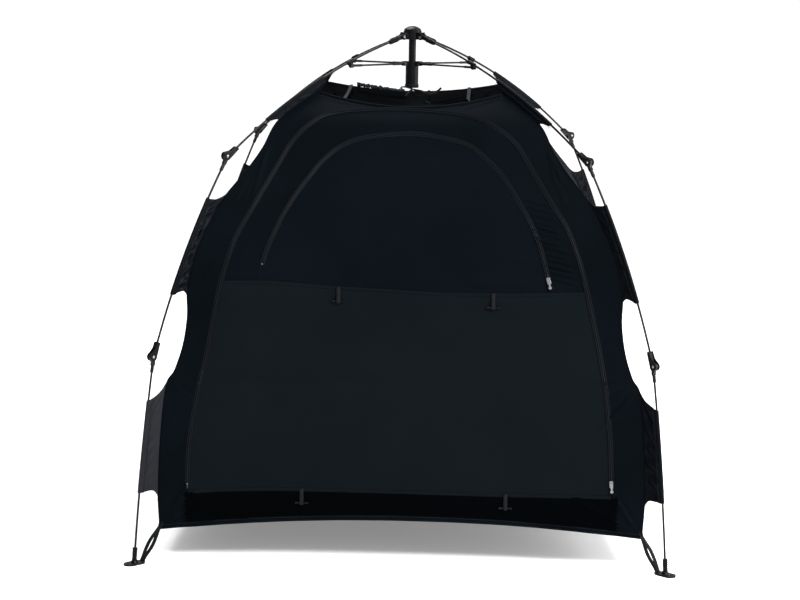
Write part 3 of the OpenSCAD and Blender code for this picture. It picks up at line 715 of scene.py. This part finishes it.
def small_box(name, at, side, up, size, material, body="root", bevel=0.0004):
    """A small block with rounded edges, set with its own side and outward directions."""
    side, up = Vector(side).normalized(), Vector(up).normalized()
    along = side.cross(up)
    half = [s / 2 for s in size]
    corners = [Vector(at) + side * sx * half[0] + along * sy * half[1] + up * sz * half[2]
               for sx in (-1, 1) for sy in (-1, 1) for sz in (-1, 1)]
    faces = [(0, 1, 3, 2), (4, 6, 7, 5), (0, 4, 5, 1), (2, 3, 7, 6), (0, 2, 6, 4), (1, 5, 7, 3)]
    mesh = bpy.data.meshes.new(name)
    mesh.from_pydata(corners, [], faces)
    mesh.materials.append(material)
    obj = bpy.data.objects.new(name, mesh)
    bpy.context.scene.collection.objects.link(obj)
    edges = obj.modifiers.new("edges", "BEVEL")
    edges.width, edges.segments = bevel, 2
    return soft(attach(obj, body))


# ---- toggles and straps ----

def toggle(name, x, z):
    """A webbing loop that hangs from a seam, round a waisted plastic bar."""
    anchor = on_wall("front", x, z, 0.001)
    drop = 0.036
    path = [(0.0, 0.004), (-0.0035, 0.001), (-0.0045, -0.012), (-0.0052, -0.026), (-0.0085, -drop - 0.001),
            (-0.0052, -drop - 0.0052), (-0.0012, -drop - 0.001), (-0.0022, -0.024), (-0.0018, -0.010), (0.0,
                                                                                                        0.001)]
    fine = spline(path, 60)
    line = np.column_stack([np.full(60, anchor[0]), anchor[1] + fine[:, 0], anchor[2] + fine[:, 1]])
    centre = np.array([anchor[0], anchor[1] - 0.0045, anchor[2] - drop])
    loop = soft(sweep(name + "_webbing", line, line - centre, flat_profile(0.011, 0.0011), WEBBING,
                      closed=True))
    length = np.linspace(-0.019, 0.019, 33)
    radius = 0.0021 + 0.0016 * (np.abs(length) / 0.019) ** 2.2
    radius[0] = radius[-1] = 0.0026
    ring = np.array(bar_profile(1.0, 16))
    grid = np.stack([np.stack([np.full(16, centre[0] + l), centre[1] + r * ring[:, 0], centre[2]
                               + r * ring[:, 1]], -1)
                     for l, r in zip(length, radius)])
    caps = [np.repeat(grid[k].mean(0)[None], 16, 0)[None] for k in (0, -1)]
    bar = soft(mesh_from_grid(name + "_bar", np.concatenate([caps[0], grid, caps[1]]), HARD["hub_plastic"],
                              closed=True))
    tack_rows = [(np.array([anchor + np.array([dx, -0.0052, -0.0035 - k * 0.004]) for dx in (-0.0042,
                                                                                             0.0042)]),
                  (0, -1, 0)) for k in range(2)]
    tack = stitches(name + "_tack", tack_rows, THREAD, pitch=0.0028, length=0.0020)
    return loop, bar, tack


def corner_strap(leg):
    """A doubled strap from the cabin's lower corner round the inner bar of the foot's slot."""
    top = (0.966, 0.094)
    foot_in, foot_slot, plate = 1.0215, 1.0285, 0.0055
    pieces = []
    for k, (end_r, bow) in enumerate(((foot_in, -0.004), (foot_slot, 0.006))):
        middle = ((top[0] + end_r) / 2 + bow, (top[1] + plate) / 2 + bow)
        path = spline([(top[0] - 0.012, top[1] + 0.022), top, middle, (end_r, plate + 0.004),
                       (end_r, 0.0012)], 50)
        line = in_leg(leg, path[:, 0], 0.0, path[:, 1])
        out = in_leg(leg, 0.6, 0.0, 0.8)
        pieces.append(soft(sweep(f"corner_strap_{leg}_{k + 1}", line, out, flat_profile(0.015, 0.0012),
                                 WEBBING,
                                 closed=True)))
    box_x = [(-0.005, 0.030), (0.005, 0.012), (0.005, 0.030), (-0.005, 0.012), (-0.005, 0.030)]
    rows = []
    for (t0, d0), (t1, d1) in zip(box_x[:-1], box_x[1:]):
        ends = [in_leg(leg, top[0] - d * 0.28 + 0.004, t, top[1] + d * 0.6) for t, d in ((t0, d0), (t1, d1))]
        rows.append((np.array(ends), in_leg(leg, 0.9, 0.0, 0.4)))
    stitches("strap_tack_" + leg, rows, THREAD, pitch=0.0035, length=0.0024)
    return pieces


def edge_binding():
    """Turned hems along the cabin's lower and upper edges, and piping up its corners."""
    made, rows = [], []
    for wall in WALL_TURN:
        out = turned(np.array([0.0, -1.0, 0.0]), WALL_TURN[wall])
        x = np.linspace(-half_width(HEM_Z) + 0.004, half_width(HEM_Z) - 0.004, 160)
        hem = on_wall(wall, x, hem_z(x) + 0.008, 0.0004)
        made.append(soft(sweep(f"{wall}_hem", hem, out, flat_profile(0.016, 0.0014), SHELL, closed=True)))
        rows += [(on_wall(wall, x, hem_z(x) + up, 0.0018), out) for up in (0.0035, 0.0125)]
        x = np.linspace(-half_width(ROOF_Z) + 0.004, half_width(ROOF_Z) - 0.004, 90)
        top = on_wall(wall, x, roof_edge_z(x, wall) - 0.006, 0.0004)
        made.append(soft(sweep(f"{wall}_top_binding", top, out, flat_profile(0.012, 0.0014), SHELL,
                               closed=True)))
        rows += [(on_wall(wall, x, roof_edge_z(x, wall) - down, 0.0018), out) for down in (0.003, 0.0095)]
        if wall != "front":
            x = np.linspace(-0.585, 0.585, 150)
            rows += [(on_wall(wall, x, np.full(150, 0.772) + lift, 0.0003), out) for lift in (0.0, 0.006)]
            x = np.linspace(-0.655, 0.655, 160)
            rows += [(on_wall(wall, x, np.full(160, 0.205) + lift, 0.0003), out) for lift in (0.0, 0.006)]
    for leg in LEG_TURN:
        r = PROFILE[:, 1] * math.sqrt(2)
        line = resample(in_leg(leg, r + 0.0006, 0.0, PROFILE[:, 0]), 200)
        made.append(soft(sweep("corner_piping_" + leg, line, in_leg(leg, 1.0, 0.0, 0.2),
                               bar_profile(0.0017, 8), SHELL,
                               closed=True)))
    x = np.linspace(-0.512, 0.508, 200)
    rows += [(on_wall("front", x, mid_seam_z(x) + lift, 0.0004), (0, -1, 0)) for lift in (-0.004, 0.003)]
    x = np.linspace(-0.59, 0.58, 220)
    rows += [(on_wall("front", x, foot_seam_z(x) + lift, 0.0004), (0, -1, 0)) for lift in (-0.004, 0.003)]
    x = np.linspace(-0.52, 0.515, 200)
    made.append(soft(sweep("mid_seam_fold", on_wall("front", x, mid_seam_z(x), 0.0002), (0, -1, 0),
                           flat_profile(0.010, 0.0012), PANEL, closed=True)))
    x = np.linspace(-0.603, 0.593, 220)
    made.append(soft(sweep("foot_seam_fold", on_wall("front", x, foot_seam_z(x), 0.0002), (0, -1, 0),
                           flat_profile(0.010, 0.0012), PANEL, closed=True)))
    thread = stitches("cabin_stitching", rows, THREAD, pitch=0.0054)
    return made, thread


# ---- roof fittings ----

def crumpled_strip():
    """A loose strip of light cloth bunched along the roof's back edge."""
    rng = random.Random(8)
    u, v = np.meshgrid(np.linspace(0, 1, 240), np.linspace(0, 1, 22))
    x = -0.178 + 0.152 * u

    def bunches(slowest, fastest, count):
        return sum(np.sin(rng.uniform(slowest, fastest) * u + rng.uniform(-9, 9) * v + rng.uniform(0, 6.3))
                   for _ in range(count)) / count

    rough = bunches(30, 170, 16)
    taper = 1 - 0.55 * u ** 1.5
    y = 0.258 - 0.018 * v + 0.010 * rough * taper
    hump = 0.018 * np.sin(math.pi * (0.10 + 0.75 * v))
    z = roof_edge_z(x, "back") - 0.003 + taper * (hump + 0.006 * bunches(20, 130, 12))
    return soft(mesh_from_grid("crumpled_strip", np.stack([x, y, z], -1), GREY_CLOTH), 0.0006)


def roof_tape(side, x_back, x_front):
    """A tape that crosses the roof's dish from its back edge to its front edge, near one side."""
    y = np.linspace(0.256, -0.256, 60)
    f = (0.256 - y) / 0.512
    x = x_back + (x_front - x_back) * f
    edges = roof_edge_z(x, "back") * (1 - f) + roof_edge_z(x) * f
    line = np.column_stack([x, y, edges + 0.004 - 0.030 * np.sin(math.pi * f)])
    obj = soft(sweep("roof_tape_" + side, line, (0, 0, 1), flat_profile(0.011, 0.0012), WEBBING, closed=True))
    return obj


def bow():
    """The tape tied round the foot of the runner sleeve: a band and four loose ends."""
    pieces = []
    sleeve_low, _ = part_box("runner_sleeve")
    z = sleeve_low.z - 0.004
    tails = [[(0.004, -0.020, z), (-0.020, -0.028, z + 0.007), (-0.034, -0.024, z + 0.004),
              (-0.022, -0.018, z - 0.004)],
             [(0.002, -0.020, z), (0.026, -0.030, z - 0.003), (0.044, -0.026, z - 0.008),
              (0.056, -0.020, z - 0.003)],
             [(0.000, -0.022, z - 0.002), (-0.010, -0.034, z - 0.010), (-0.018, -0.040, z - 0.019)],
             [(0.006, -0.022, z - 0.002), (0.060, -0.026, z - 0.012), (0.082, -0.022, z - 0.002),
              (0.090, -0.020, z + 0.006)]]
    for k, path in enumerate(tails):
        line = spline(path, 36)
        obj = sweep(f"bow_tail_{k + 1}", line, (0.2, -0.6, 0.8), flat_profile(0.007, 0.0009), WEBBING,
                    "runner",
                    closed=True)
        pieces.append(obj)
    a = np.linspace(0, 2 * math.pi, 60)
    radius = (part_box("runner_sleeve")[1].x) + 0.0006
    ring = np.column_stack([radius * np.cos(a), radius * np.sin(a), sleeve_low.z + 0.006
                            + 0.0015 * np.sin(3 * a)])
    outward = np.column_stack([np.cos(a), np.sin(a), 0 * a])
    band = sweep("bow_band", ring, outward, flat_profile(0.008, 0.0010), WEBBING, "runner", closed=True)
    pieces.append(band)
    return pieces


CORD_ROUTE = [(0, -0.002, 1.330), (0, -0.002, 1.318), (0.001, -0.003, 1.306), (0.004, -0.007, 1.297),
              (0.010, -0.012, 1.290), (0.019, -0.016, 1.287), (0.029, -0.016, 1.289), (0.038, -0.012, 1.293),
              (0.046, -0.005, 1.295), (0.052, 0.004, 1.293), (0.055, 0.014, 1.288), (0.055, 0.024, 1.281),
              (0.052, 0.033, 1.273), (0.047, 0.040, 1.265)]


def pull_cord():
    """The cord that frees the runner, out of the mast's lower end, with a knot."""
    data = bpy.data.curves.new("pull_cord_braid", "CURVE")
    data.dimensions = "3D"
    data.bevel_depth, data.bevel_resolution, data.use_fill_caps = 0.002, 3, True
    points = spline(CORD_ROUTE, 60)
    line = data.splines.new("POLY")
    line.points.add(len(points) - 1)
    for p, co in zip(line.points, points):
        p.co = (*co, 1)
    data.materials.append(CORD)
    obj = bpy.data.objects.new("pull_cord_braid", data)
    bpy.context.scene.collection.objects.link(obj)
    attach(obj, "runner")
    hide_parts("pull_cord")
    a = np.linspace(0, 2 * math.pi, 60)
    end = np.array(CORD_ROUTE[-1])
    knot_line = end + 0.0028 * np.column_stack([np.sin(a) + 2 * np.sin(2 * a), np.cos(a) - 2 * np.cos(2 * a),
                                                -np.sin(3 * a)]) * [1, 1, 1.2]
    knot = sweep("pull_cord_knot", knot_line, (0.3, 0.2, 1), bar_profile(0.0019, 10), CORD, "runner",
                 closed=True)
    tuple(CORD_ROUTE[0])
    round(float(lengths_along(points)[-1]), 3)
    return obj


# ---- rivet heads ----

def rivet_head(name, leg, pin, half_span, body):
    """A domed head on each end of a pin, at (distance from the mast, height) and this far either side."""
    across = in_leg(leg, 0.0, 1.0, 0.0)
    first, second = in_leg(leg, 1.0, 0.0, 0.0), np.array([0.0, 0.0, 1.0])
    profile = [(0.0044, 0.0), (0.0043, 0.0006), (0.0036, 0.0012), (0.0020, 0.0017), (0.0002, 0.0018)]
    a = np.linspace(0, 2 * math.pi, 29)
    for side in (-1, 1):
        centre = in_leg(leg, pin[0], side * half_span, pin[1])
        rings = [[centre + side * across * h + r * (first * math.cos(t) + second * math.sin(t)) for t in a]
                 for r, h in profile]
        obj = mesh_from_grid(f"{name}_{'a' if side < 0 else 'b'}", np.array(rings), HARD["rivet_metal"], body)


# ---- the fabric follows the frame ----

# Each leg segment's heights on the cabin, the bone's distance from the mast, and its width when folded.
SEGMENTS = {"upper": (0.50, 0.16), "mid": (0.86, 0.16), "lower": (0.95, 0.14)}
ELBOW_Z = {"upper": 1.137, "lower": 0.586}
RUNNER_TRAVEL = 0.361


def fabric_rig():
    """Bones that ride on the leg segments and draw the fabric in as the runner comes down."""
    data = bpy.data.armatures.new("fabric_rig")
    rig = bpy.data.objects.new("fabric_rig", data)
    bpy.context.scene.collection.objects.link(rig)
    bpy.context.view_layer.objects.active = rig
    bpy.ops.object.mode_set(mode="EDIT")

    def bone(name, head, tail, parent=None):
        made = data.edit_bones.new(name)
        made.head, made.tail, made.roll = head, tail, 0
        made.parent = parent
        return made

    bone("runner", (0, 0, 0), (0, 0.1, 0))
    for segment, (r, _) in SEGMENTS.items():
        for leg in LEG_TURN:
            carrier = bone(f"{segment}_{leg}", (0, 0, 0), (0, 0.1, 0))
            head = Vector(in_leg(leg, r, 0.0, 0.0))
            bone(f"gather_{segment}_{leg}", head, head + Vector((0, 0, 0.1)), carrier)
    bpy.ops.object.mode_set(mode="POSE")
    bodies = frame["bodies"]
    follow(rig.pose.bones["runner"], bodies["runner"])
    for segment, (_, folded) in SEGMENTS.items():
        for leg in LEG_TURN:
            follow(rig.pose.bones[f"{segment}_{leg}"], bodies[f"{segment}_leg_{leg}"])
            gather = rig.pose.bones[f"gather_{segment}_{leg}"].constraints.new("TRANSFORM")
            gather.target = bodies["runner"]
            gather.owner_space, gather.target_space = "LOCAL", "WORLD"
            gather.map_from, gather.map_to = "LOCATION", "SCALE"
            gather.from_min_z, gather.from_max_z = -RUNNER_TRAVEL, 0
            gather.map_to_x_from = gather.map_to_y_from = gather.map_to_z_from = "Z"
            gather.to_min_x_scale = gather.to_min_z_scale = folded
            gather.to_min_y_scale = gather.to_max_x_scale = gather.to_max_y_scale = gather.to_max_z_scale = 1
            gather.mix_mode_scale = "REPLACE"
    bpy.ops.object.mode_set(mode="OBJECT")
    rig.hide_render = True
    return rig


def follow(pose_bone, empty):
    copy = pose_bone.constraints.new("COPY_TRANSFORMS")
    copy.target = empty
    copy.owner_space = copy.target_space = "WORLD"


def fabric_weights(points):
    """Weights of each point on every bone: by leg from its place, by segment from its height."""
    x, y, z = points.T
    half = np.maximum(np.maximum(np.abs(x), np.abs(y)), 0.30)
    wx, wy = (x / half + 1) / 2, (y / half + 1) / 2
    legs = {"fl": (1 - wx) * (1 - wy), "fr": wx * (1 - wy), "br": wx * wy, "bl": (1 - wx) * wy}
    upper = ease((z - ELBOW_Z["upper"]) / 0.12 + 0.5)
    lower = 1 - ease((z - ELBOW_Z["lower"]) / 0.12 + 0.5)
    parts = {"upper": upper, "mid": 1 - upper - lower, "lower": lower}
    centre = ease(1 - np.hypot(x, y) / 0.30) * (z > 1.18)
    weights = {f"gather_{s}_{l}": parts[s] * legs[l] * (1 - centre) for s in parts for l in legs}
    weights["runner"] = centre
    return weights


def skin(obj, rig):
    co = np.zeros(len(obj.data.vertices) * 3)
    obj.data.vertices.foreach_get("co", co)
    for name, weight in fabric_weights(co.reshape(-1, 3)).items():
        steps = np.round(weight * 500).astype(int)
        if not steps.any():
            continue
        group = obj.vertex_groups.new(name=name)
        for step in np.unique(steps[steps > 0]):
            group.add(np.nonzero(steps == step)[0].tolist(), step / 500, "REPLACE")
    follow_rig = obj.modifiers.new("fabric_rig", "ARMATURE")
    follow_rig.object = rig


# ---- building ----

def dress_frame():
    """Finishes for the rods, hub, runner, elbows, feet and zip metal, shown as the frame's own solids."""
    slots = {part["node"]: part["material_slot"] for part in frame["record"]["subparts"]}
    for name, obj in frame["nodes"].items():
        if slots.get(name) in HARD:
            obj.data.materials.clear()
            obj.data.materials.append(HARD[slots[name]])


def lights_and_camera():
    scene = bpy.context.scene
    bpy.ops.mesh.primitive_plane_add(size=900)
    floor = bpy.context.object
    floor.name = "floor"
    material, nodes, links, shader = new_material("floor_white", (0.93, 0.93, 0.93), 0.9)
    grain = node(nodes, "ShaderNodeTexNoise", Scale=2.0, Detail=2.0)
    links.new(ramp_between(nodes, links, grain.outputs["Fac"], 0.3, 0.7, (0.925, 0.925, 0.925),
                           (0.935, 0.935, 0.935)),
              shader.inputs["Base Color"])
    shader.inputs["Emission Color"].default_value = (1, 1, 1, 1)
    shader.inputs["Emission Strength"].default_value = 0.22
    floor.data.materials.append(material)
    world = bpy.data.worlds.new("studio")
    scene.world = world
    world.use_nodes = True
    nodes, links = world.node_tree.nodes, world.node_tree.links
    direction = nodes.new("ShaderNodeTexCoord")
    parts = nodes.new("ShaderNodeSeparateXYZ")
    links.new(direction.outputs["Generated"], parts.inputs["Vector"])
    links.new(ramp_value(nodes, links, parts.outputs["X"], -0.8, 0.9, 0.35, 1.55),
              nodes["Background"].inputs["Strength"])
    nodes["Background"].inputs["Color"].default_value = (1, 1, 1, 1)
    for name, place, aim, size, power in (("key", (3.0, -4.2, 4.4), (0, 0, 0.8), 1.6, 520),
                                          ("side", (4.6, -0.6, 1.8), (0, 0, 0.8), 2.2, 160),
                                          ("top", (-0.8, 1.6, 4.6), (0, 0, 1.0), 2.0, 200)):
        data = bpy.data.lights.new(name, "AREA")
        data.size, data.energy = size, power
        lamp = bpy.data.objects.new(name, data)
        lamp.location = place
        lamp.rotation_euler = (Vector(place) - Vector(aim)).to_track_quat("Z", "Y").to_euler()
        scene.collection.objects.link(lamp)
    data = bpy.data.cameras.new("camera")
    data.lens, data.sensor_width = 99.5, 36
    camera = bpy.data.objects.new("camera", data)
    scene.collection.objects.link(camera)
    place, aim, roll = Vector((0.1226, -6.7826, 1.6681)), Vector((-0.0287, 0.1390, 0.6345)), math.radians(0.9)
    turn = (place - aim).to_track_quat("Z", "Y").to_matrix() @ Matrix.Rotation(roll, 3, "Z")
    camera.matrix_world = Matrix.Translation(place) @ turn.to_4x4()
    scene.camera = camera
    scene.view_settings.view_transform = "Standard"


front = front_shell()
door, window, lower = door_panels()
walls = [full_wall(w) for w in ("right", "back", "left")]
top = roof()
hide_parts("front_wall")
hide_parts("door_panel")
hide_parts("window_panel")
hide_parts("lower_panel")
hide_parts("side_walls")
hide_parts("back_wall")
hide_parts("roof_panel")

sleeves = {(leg, part): sleeve(leg, part) for leg in LEG_TURN for part in SLEEVES}
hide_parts("pole_sleeves")
sleeve_rows = [row for leg in LEG_TURN for part in SLEEVES for row in sleeve_stitches(leg, part)]
stitches("sleeve_stitching", sleeve_rows, THREAD)

door_zip = zip_pieces("door_zip", DOOR_ARCH, 0.219, 0.222, 700)
window_zip = zip_pieces("window_zip", WINDOW_ARCH, 0.838, 0.790, 420)
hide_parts("door_zip")
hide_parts("window_zip")

bindings, cabin_thread = edge_binding()
toggles = [toggle("toggle_upper_left", -0.187, 0.775), toggle("toggle_upper_right", 0.251, 0.765),
           toggle("toggle_lower_left", -0.281, 0.207), toggle("toggle_lower_right", 0.296, 0.203)]
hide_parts("toggles")
straps = [corner_strap(leg) for leg in LEG_TURN]
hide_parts("tie_straps")
strip = crumpled_strip()
tapes = [roof_tape("left", -0.196, -0.222), roof_tape("right", 0.178, 0.166)]
bow()
pull_cord()
for leg in LEG_TURN:
    rivet_head("upper_rivet_" + leg, leg, UPPER_PIN, 0.0084, "upper_leg_" + leg)
    rivet_head("lower_rivet_" + leg, leg, LOWER_PIN, 0.0084, "mid_leg_" + leg)

sewn = {piece.name: piece for piece in bindings}
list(door_zip[:3])
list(door_zip[3])
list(window_zip[:3])
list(window_zip[3])
# Each sleeve's flat width and length in metres, and its flat area in square metres.
SLEEVE_CUTS = {"top": (0.08, 0.24, 0.0158), "mid": (0.12, 0.30, 0.0315), "low": (0.12, 0.35, 0.0385)}
for (leg, part), cloth in sleeves.items():
    width, length, area = SLEEVE_CUTS[part]

rig = fabric_rig()
for obj, thickness in SOFT:
    skin(obj, rig)
    if thickness:
        solidify(obj, thickness)
for name in ("door_slider", "door_pull", "window_slider", "window_pull"):
    skin(frame["nodes"][name], rig)

dress_frame()
lights_and_camera()
